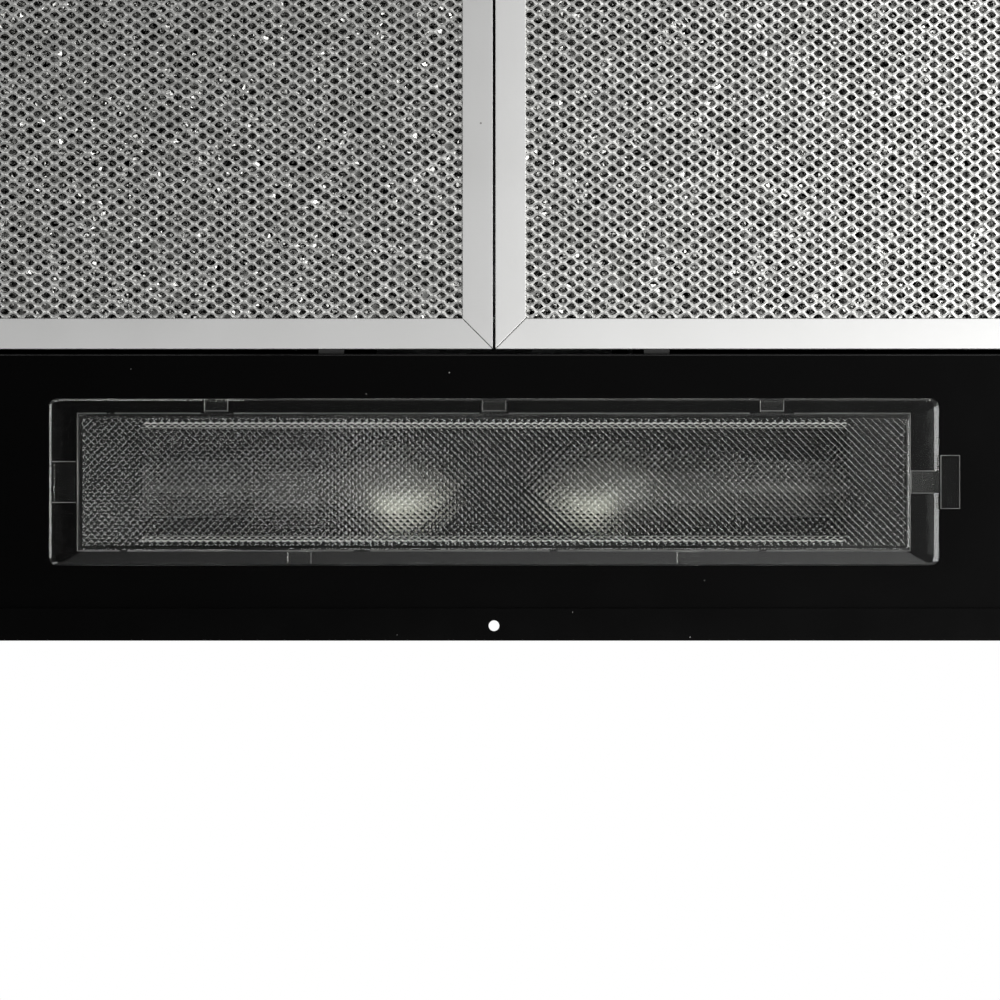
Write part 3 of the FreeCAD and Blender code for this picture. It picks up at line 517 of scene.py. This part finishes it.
def cover_border():
    # rings from the rim inwards: half length, half depth, height above the flange
    rings = [
        (rim_half[0] - 0.1 * MM, rim_half[1] - 0.1 * MM, 6.9 * MM),
        (rim_half[0] - 2.4 * MM, rim_half[1] - 0.6 * MM, 6.35 * MM),
        (box_half[0] + 1.5 * MM, box_half[1] + 1.0 * MM, 6.0 * MM),
        (box_half[0] + 1.2 * MM, box_half[1] + 0.8 * MM, 5.65 * MM),
        (box_half[0] + 0.4 * MM, box_half[1] + 0.3 * MM, 5.6 * MM),
        (box_half[0], box_half[1], face_height + 0.1 * MM),
        (prism_half[0], prism_half[1], face_height + 0.1 * MM),
    ]
    clear_selection()
    bpy.ops.mesh.primitive_plane_add(size=2.0)
    piece = bpy.context.object
    piece.scale = (rim_half[0], rim_half[1], 1)
    bpy.ops.object.transform_apply(scale=True)
    start_edit()
    bpy.ops.mesh.select_all(action="SELECT")
    bpy.ops.mesh.bevel(offset=rim_corner, segments=6, affect="VERTICES")
    bpy.ops.mesh.select_all(action="SELECT")
    bpy.ops.mesh.delete(type="ONLY_FACE")
    bpy.ops.mesh.select_all(action="SELECT")
    bpy.ops.transform.translate(value=(0, 0, rim_height))
    half_x, half_y, height = rim_half[0], rim_half[1], rim_height
    for next_x, next_y, next_height in rings:
        bpy.ops.mesh.extrude_edges_move(TRANSFORM_OT_translate={"value": (0, 0, next_height - height)})
        bpy.ops.transform.resize(value=(next_x / half_x, next_y / half_y, 1))
        half_x, half_y, height = next_x, next_y, next_height
    bpy.ops.mesh.select_all(action="SELECT")
    bpy.ops.mesh.normals_make_consistent(inside=False)
    bpy.ops.object.mode_set(mode="OBJECT")
    modify(piece, "SOLIDIFY", thickness=cover_wall, offset=-1.0)
    modify(piece, "BEVEL", width=cover_edge, segments=2, limit_method="ANGLE", angle_limit=math.radians(9))
    bpy.ops.object.shade_smooth_by_angle(angle=math.radians(60))
    modify(piece, "WEIGHTED_NORMAL", keep_sharp=True)
    return piece


def prism_face():
    # the ribbed face: prisms with their bases on the slant, cut straight at the box's wall
    clear_selection()
    bpy.ops.mesh.primitive_circle_add(vertices=4, radius=prism_pitch / 2, fill_type="NGON")
    start_edit()
    bpy.ops.mesh.select_all(action="SELECT")
    bpy.ops.mesh.inset(thickness=prism_foot, depth=-prism_foot * math.tan(math.radians(20)))
    bpy.ops.mesh.poke()
    pick(lambda co, normal: co.xy.length < prism_pitch * 0.1)
    bpy.ops.transform.translate(value=(0, 0, -prism_height))
    bpy.ops.object.mode_set(mode="OBJECT")
    columns = math.ceil(2 * prism_half[0] / prism_pitch) + 2
    rows = math.ceil(2 * prism_half[1] / prism_pitch) + 2
    piece = staggered(bpy.context.object, prism_pitch, prism_pitch, columns, rows)
    piece.location = (-(columns - 0.5) * prism_pitch / 2, -(rows - 0.5) * prism_pitch / 2, 0)
    settle(piece, "prisms")
    start_edit()
    for axis, half in enumerate(prism_half):
        for sign in (-1, 1):
            direction = [0, 0, 0]
            direction[axis] = sign
            spot = [0, 0, 0]
            spot[axis] = sign * (half - 0.03 * MM)
            bpy.ops.mesh.select_all(action="SELECT")
            bpy.ops.mesh.bisect(plane_co=spot, plane_no=direction, clear_outer=True)
    bpy.ops.mesh.select_all(action="SELECT")
    bpy.ops.mesh.extrude_region_move(TRANSFORM_OT_translate={"value": (0, 0, face_depth)})
    bpy.ops.transform.resize(value=(1, 1, 0), center_override=(0, 0, face_depth))
    bpy.ops.mesh.select_all(action="SELECT")
    bpy.ops.mesh.normals_make_consistent(inside=False)
    bpy.ops.object.mode_set(mode="OBJECT")
    piece.location = (0, 0, face_height)
    return piece


def pad(x, y, width, depth):
    # a shallow raised field with sloping sides, over each tab that holds the cover in the panel
    clear_selection()
    bpy.ops.mesh.primitive_cube_add(size=1.0, location=(x, y, pad_level))
    piece = bpy.context.object
    piece.scale = (width, depth, pad_height)
    bpy.ops.object.transform_apply(scale=True)
    modify(piece, "BEVEL", width=0.22 * MM, segments=1)
    return piece


def moulded_pads():
    side_middle = (rim_half[1] + box_half[1]) / 2
    side_width = rim_half[1] - box_half[1] - 2.4 * MM
    end_middle = (rim_half[0] + box_half[0]) / 2
    end_width = rim_half[0] - box_half[0] - 4.6 * MM
    pads = [pad(x * MM, side_middle, pad_length, side_width) for x in (-130.5, 0, 130.5)]
    pads += [pad(x * MM, -side_middle, pad_length, side_width) for x in (-91.4, 91.4)]
    pads += [pad(end_middle, 0, end_width, 19 * MM)]
    return pads


def clear_moulding(shade):
    return {"Roughness": 0.02 + shade.noise(0.02) * 0.03,
            "Normal": shade.bump(shade.noise(0.006), 0.03, 0.0004)}


def pass_lamp_light(material, colour):
    # the eye sees the material bend light, and the lamps' light goes through it unbent
    tree = material.node_tree
    start = Shade(tree)
    shader = Shade(tree, tree.nodes["Principled BSDF"].outputs[0])
    straight = start.node("ShaderNodeBsdfTransparent", None, {"Color": colour})
    shadow_ray = start.node("ShaderNodeLightPath", output=1)
    mixed = start.node("ShaderNodeMixShader", None, {0: shadow_ray, 1: shader, 2: straight})
    tree.links.new(mixed.socket, tree.nodes["Material Output"].inputs["Surface"])


clear_plastic = finish("clear_plastic", {"Base Color": (0.97, 0.98, 0.96, 1), "Transmission Weight": 1.0,
                                         "IOR": 1.49, "Specular IOR Level": 0.24}, clear_moulding)
pass_lamp_light(clear_plastic, (0.93, 0.94, 0.92, 1))
cover = join_pieces([cover_border(), prism_face()] + moulded_pads(), "light_cover")
cover.location = (cover_x, cover_y, 0)
settle(cover, "light_cover")
wear(cover, clear_plastic, "light_cover", "clear_plastic", "lamp_cover")


edge_level = 6.02 * MM
edge_width = 0.2 * MM
edge_height = 0.3 * MM


def edge_line(x0, y0, x1, y1):
    # a thin light strip on the face of the border, a painted highlight along an edge of the moulding; places
    # in mm from the cover's middle
    clear_selection()
    middle = (cover_x + (x0 + x1) / 2 * MM, cover_y + (y0 + y1) / 2 * MM, edge_level)
    bpy.ops.mesh.primitive_cube_add(size=1.0, location=middle)
    piece = bpy.context.object
    piece.scale = (abs(x1 - x0) * MM + edge_width, abs(y1 - y0) * MM + edge_width, edge_height)
    bpy.ops.object.transform_apply(scale=True)
    return piece


def moulded_edges():
    # round the box, along the sides of the pads, and at the catch
    lines = [(-195.3, 32.3, -141, 32.3), (-120, 32.3, -7, 32.3), (7, 32.3, 122, 32.3), (138, 32.3, 178, 32.3),
             (182, 32.3, 195.6, 32.3), (-195.3, -32.3, -128, -32.3), (-124, -32.3, -30, -32.3),
             (-26, -32.3, 58, -32.3), (66, -32.3, 172, -32.3), (176, -32.3, 195.6, -32.3),
             (195.6, -32.3, 195.6, 32.3), (-195.3, -32.3, -195.3, 32.3)]
    for x in (-130.5, 0, 130.5):
        lines += [(x - 5.5, 33.2, x - 5.5, 38.2), (x + 5.5, 33.2, x + 5.5, 38.2),
                  (x - 5.5, 33.4, x + 5.5, 33.4)]
    lines += [(x, -38.2, x, -33.2) for x in (-85.9, 85.9)]
    lines += [(196.5, y, 208, y) for y in (-9.6, 9.6)]
    lines += [(-207.5, y, -195.5, y) for y in (-5.2, 5.2)] + [(-195.8, -5.2, -195.8, 5.2)]
    return [edge_line(*line) for line in lines]


# The strips are a pale, partly clear grey: a painted highlight along the moulding's edges.
painted_highlight_tones = mottled(0.012, (0.1, 0.1, 0.1), (0.62, 0.62, 0.6), 0.25, 0.005, 0.1)
moulding_painted_highlight = finish("moulding_painted_highlight", {"Transmission Weight": 0.3}, painted_highlight_tones)
wear(join_pieces(moulded_edges(), "light_cover_painted_highlights"), moulding_painted_highlight, "light_cover", "clear_plastic")

dress("cover_latch", clear_plastic)
# Painted highlight strips run round the edge of the grip.
grip_low, grip_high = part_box("cover_latch")
grip_x0 = (grip_low[0] - cover_x) / MM + 0.3
grip_x1 = (grip_low[0] - cover_x) / MM + 9.1
grip_y = (grip_high[1] - grip_low[1]) / 2 / MM - 0.3
grip_corners = [(grip_x0, -grip_y), (grip_x0, grip_y), (grip_x1, grip_y), (grip_x1, -grip_y)]
grip_highlight_strips = [edge_line(*grip_corners[index - 1], *grip_corners[index]) for index in range(4)]
grip_painted_highlights = join_pieces(grip_highlight_strips, "cover_grip_painted_highlights")
grip_painted_highlights.location = (0, 0, grip_low[2] - edge_level + edge_width / 2)
settle(grip_painted_highlights, "cover_grip_painted_highlights")
wear(grip_painted_highlights, moulding_painted_highlight, "light_cover_grip", "clear_plastic")


# ---- Lamps and reflector
# Two frosted candle lamps lie tip to tip in porcelain holders, in a folded sheet reflector above the
# light panel. Bright beads of plated steel edge the lamp opening, and a fold runs along the panel.

def frost(shade):
    # frosted glass, with painted shade that darkens it towards the cap and the rear and leaves a light patch
    # at the front of the tip
    across = shade.coordinate(0)
    cap_painted_shade = across.math("ABSOLUTE", across, 0.0).ramp(0.042, 0.062)
    rear_painted_shade = shade.coordinate(1).ramp(-0.168, -0.146)
    tip = shade.blend(shade.noise(0.02), (0.62, 0.62, 0.54, 1), (0.74, 0.74, 0.65, 1))
    return {"Base Color": shade.blend(cap_painted_shade.most(rear_painted_shade), tip, (0.05, 0.05, 0.045, 1)),
            "Roughness": 0.3 + shade.noise(0.004) * 0.1}


# The white porcelain holders are painted near-black: painted shade inside the reflector.
porcelain_painted_shade_tones = mottled(0.01, (0.02, 0.02, 0.019), (0.035, 0.035, 0.033), 0.25, 0.01, 0.15)
zinc = mottled(0.002, (0.5, 0.5, 0.49), (0.72, 0.72, 0.7), 0.25, 0.003, 0.2)
matt = mottled(0.02, (0.002, 0.002, 0.002), (0.005, 0.005, 0.005), 0.5, 0.004, 0.2)
# The metal lamp caps are painted near-black: painted shade inside the reflector.
cap_painted_shade_tones = mottled(0.003, (0.02, 0.018, 0.016), (0.04, 0.037, 0.033), 0.4, 0.003, 0.2)
frosted_glass = finish("frosted_glass", {"Coat Weight": 0.3}, frost)
porcelain_painted_shade = finish("porcelain_painted_shade", {}, porcelain_painted_shade_tones)
zinc_plate = finish("zinc_plate", {"Metallic": 1.0}, zinc)
matt_enamel = finish("matt_enamel", {"Specular IOR Level": 0.1}, matt)
dark_cap_painted_shade = finish("lamp_cap_painted_shade", {"Metallic": 0.8}, cap_painted_shade_tones)
for side in ("right", "left"):
    dress(side + "_lamp_glass", frosted_glass)
    dress(side + "_lamp_base", dark_cap_painted_shade)
    dress(side + "_lamp_socket", porcelain_painted_shade)
dress("lamp_reflector", matt_enamel)


window_half = 26.8 * MM


def bead(name, y, height, half_length, radius):
    clear_selection()
    bpy.ops.mesh.primitive_cylinder_add(vertices=16, radius=radius, depth=2 * half_length,
                                        location=(0, y, height), rotation=(0, math.pi / 2, 0))
    piece = settle(bpy.context.object, name)
    bpy.ops.object.shade_smooth_by_angle(angle=math.radians(40))
    return piece


for name, y in (("rear_window_bead", cover_y + window_half), ("front_window_bead", cover_y - window_half)):
    wear(bead(name, y, 8.2 * MM, 165 * MM, 0.6 * MM), zinc_plate, "casing", "bright_steel")
wear(bead("panel_fold", -85.95 * MM, 8.4 * MM, 340 * MM, 0.5 * MM), black_enamel, "casing", "black_enamel")


# ---- Switches
# Two black moulded rockers in snap-in housings, pressed up through the light panel at its left end.
# The cable gland in the lid and its nut are of the same plastic.

def moulded_black(shade):
    return {"Base Color": shade.blend(shade.noise(0.01), (0.012, 0.012, 0.012, 1), (0.025, 0.025, 0.025, 1)),
            "Roughness": 0.28 + shade.noise(0.0008) * 0.15,
            "Normal": shade.bump(shade.noise(0.0005), 0.08, 0.0002)}


black_plastic = finish("black_plastic", {}, moulded_black)
for part in ("fan_switch_housing", "fan_switch_rocker", "light_switch_housing", "light_switch_rocker",
             "cable_gland", "cable_gland_nut"):
    dress(part, black_plastic)


# ---- Blower, wiring box and duct collar
# Galvanised sheet parts hung from the lid: the scroll with its wheel and motor, the wiring box,
# and on top the round collar with its two damper flaps.

def spangle(shade):
    facet = shade.facets(1 / 90)
    return {"Base Color": shade.blend(facet, (0.42, 0.43, 0.44, 1), (0.62, 0.63, 0.64, 1)),
            "Roughness": 0.3 + facet * 0.2}


dark_enamel = mottled(0.02, (0.03, 0.03, 0.033), (0.05, 0.05, 0.052), 0.35, 0.002, 0.2)
moulded_white = mottled(0.01, (0.68, 0.68, 0.65), (0.78, 0.78, 0.75), 0.4, 0.002, 0.2)
galvanised = finish("galvanised_sheet", {"Metallic": 0.9}, spangle)
motor_enamel = finish("motor_enamel", {}, dark_enamel)
white_plastic = finish("white_plastic", {}, moulded_white)
for part in ("scroll_wrap", "scroll_left_side", "scroll_right_side", "impeller", "duct_collar",
             "front_damper_flap", "rear_damper_flap", "wiring_box", "wiring_box_cover", "capacitor_clip",
             "motor_bracket"):
    dress(part, galvanised)
for part in ("casing_screws", "frame_rivets", "collar_screws", "blower_screws", "motor_shaft",
             "impeller_nut", "damper_pins"):
    dress(part, zinc_plate)
dress("motor", motor_enamel)
dress("capacitor", white_plastic)
dress("terminal_block", white_plastic)


# ---- Studio
# The hood hangs above a pale floor; the camera looks straight up at the lamp cover and the inner
# halves of the filters, with large soft lamps below and to the front. The black panel and the
# prisms mirror a dark card that lies below the camera.

picture_width = 0.470
eye_distance = 1.6
aim = Vector((-0.0028, -0.1542, 0.008))
floor_depth = 3.2
card_depth = eye_distance - aim.z + 0.16
sensor = 36.0

bpy.ops.object.camera_add(location=(aim.x, aim.y, aim.z - eye_distance), rotation=(0, math.pi, 0))
camera = bpy.context.object
camera.data.sensor_width = sensor
camera.data.lens = sensor * eye_distance / picture_width
camera.data.clip_end = 50.0
bpy.context.scene.camera = camera

clear_selection()
bpy.ops.mesh.primitive_plane_add(size=40.0, location=(0, 0, -floor_depth))
floor = bpy.context.object
floor.name = "studio_floor"
bpy.ops.mesh.primitive_plane_add(size=1.0, location=(0.0, -0.04, -card_depth))
card = bpy.context.object
card.name = "dark_card"
card.scale = (1.25, 0.6, 1)


def dark_cloth(shade):
    across = 0.5 - shade.coordinate(0)
    return {"Base Color": shade.blend(across, (0.002, 0.002, 0.002, 1), (0.16, 0.16, 0.16, 1)),
            "Roughness": 0.9 + shade.noise(0.05) * 0.05}


def seen_pale(shade, strength):
    """How much of the pale backdrop's own brightness a ray sees: what looks at it or mirrors it."""
    camera_ray, glossy_ray, passing_ray = [shade.node("ShaderNodeLightPath", output=output)
                                           for output in (0, 3, 6)]
    return camera_ray.most(glossy_ray.most(passing_ray)) * strength


pale_floor = mottled(1.5, (0.78, 0.78, 0.77), (0.84, 0.84, 0.83), 0.8, 0.5, 0.1)
floor_material = finish("studio_floor", {}, pale_floor)
floor.data.materials.append(floor_material)
card.data.materials.append(finish("dark_card", {}, dark_cloth))

tree = floor_material.node_tree
start = Shade(tree)
# The floor glows for the rays that see or mirror it, fading to the left, to the rear and far off: a painted
# pool of light that the metal parts mirror.
left_fade = start.coordinate(0).ramp(-0.8, 1.0, 1.0, 0.08)
rear_fade = start.coordinate(1).ramp(-0.4, 1.6, 0.95, 0.35)
reach = start.node("ShaderNodeVectorMath", {"operation": "LENGTH"}, {0: start.place()}, output=1)
far_fade = reach.ramp(3.2, 6.0, 1.0, 0.12)
lit = Shade(tree, tree.nodes["Principled BSDF"].outputs[0])
painted_floor_glow = start.node("ShaderNodeEmission", None,
                  {"Color": (0.95, 0.95, 0.95, 1), "Strength": left_fade * rear_fade * far_fade})
both = start.node("ShaderNodeMixShader", None, {0: seen_pale(start, 0.9), 1: lit, 2: painted_floor_glow})
tree.links.new(both.socket, tree.nodes["Material Output"].inputs["Surface"])

world = bpy.data.worlds.new("studio")
bpy.context.scene.world = world
world.use_nodes = True
sky = Shade(world.node_tree)
dim = sky.node("ShaderNodeBackground", None, {"Color": (1, 1, 1, 1), "Strength": 0.45})
full = sky.node("ShaderNodeBackground", None, {"Color": (1, 1, 1, 1), "Strength": 1.0})
both = sky.node("ShaderNodeMixShader", None, {0: seen_pale(sky, 1.0), 1: dim, 2: full})
world.node_tree.links.new(both.socket, world.node_tree.nodes["World Output"].inputs["Surface"])


def soft_lamp(name, place, target, size, power):
    data = bpy.data.lights.new(name, "AREA")
    data.shape = "RECTANGLE"
    data.size, data.size_y = size
    data.energy = power
    lamp = bpy.data.objects.new(name, data)
    bpy.context.collection.objects.link(lamp)
    lamp.location = place
    lamp.rotation_euler = (Vector(target) - Vector(place)).to_track_quat("-Z", "Y").to_euler()


# place and target in metres, width and height in metres, power in watts
soft_lamp("key_lamp", (-1.5, -0.4, -2.2), (-0.1, -0.1, 0), (1.1, 1.2), 32)
soft_lamp("left_lamp", (0.84, -0.95, -1.35), (0.84, -0.15, 0), (1.2, 0.22), 5)
soft_lamp("rear_lamp", (1.15, 0.68, -1.35), (1.15, -0.15, 0), (0.5, 0.25), 2)
soft_lamp("front_lamp", (-0.3, -1.35, -1.35), (-0.3, -0.15, 0), (1.0, 0.2), 4)
soft_lamp("top_lamp", (-1.2, -1.8, 2.6), (0, 0, 0.1), (2.0, 2.0), 70)

bpy.context.scene.view_settings.view_transform = "Standard"
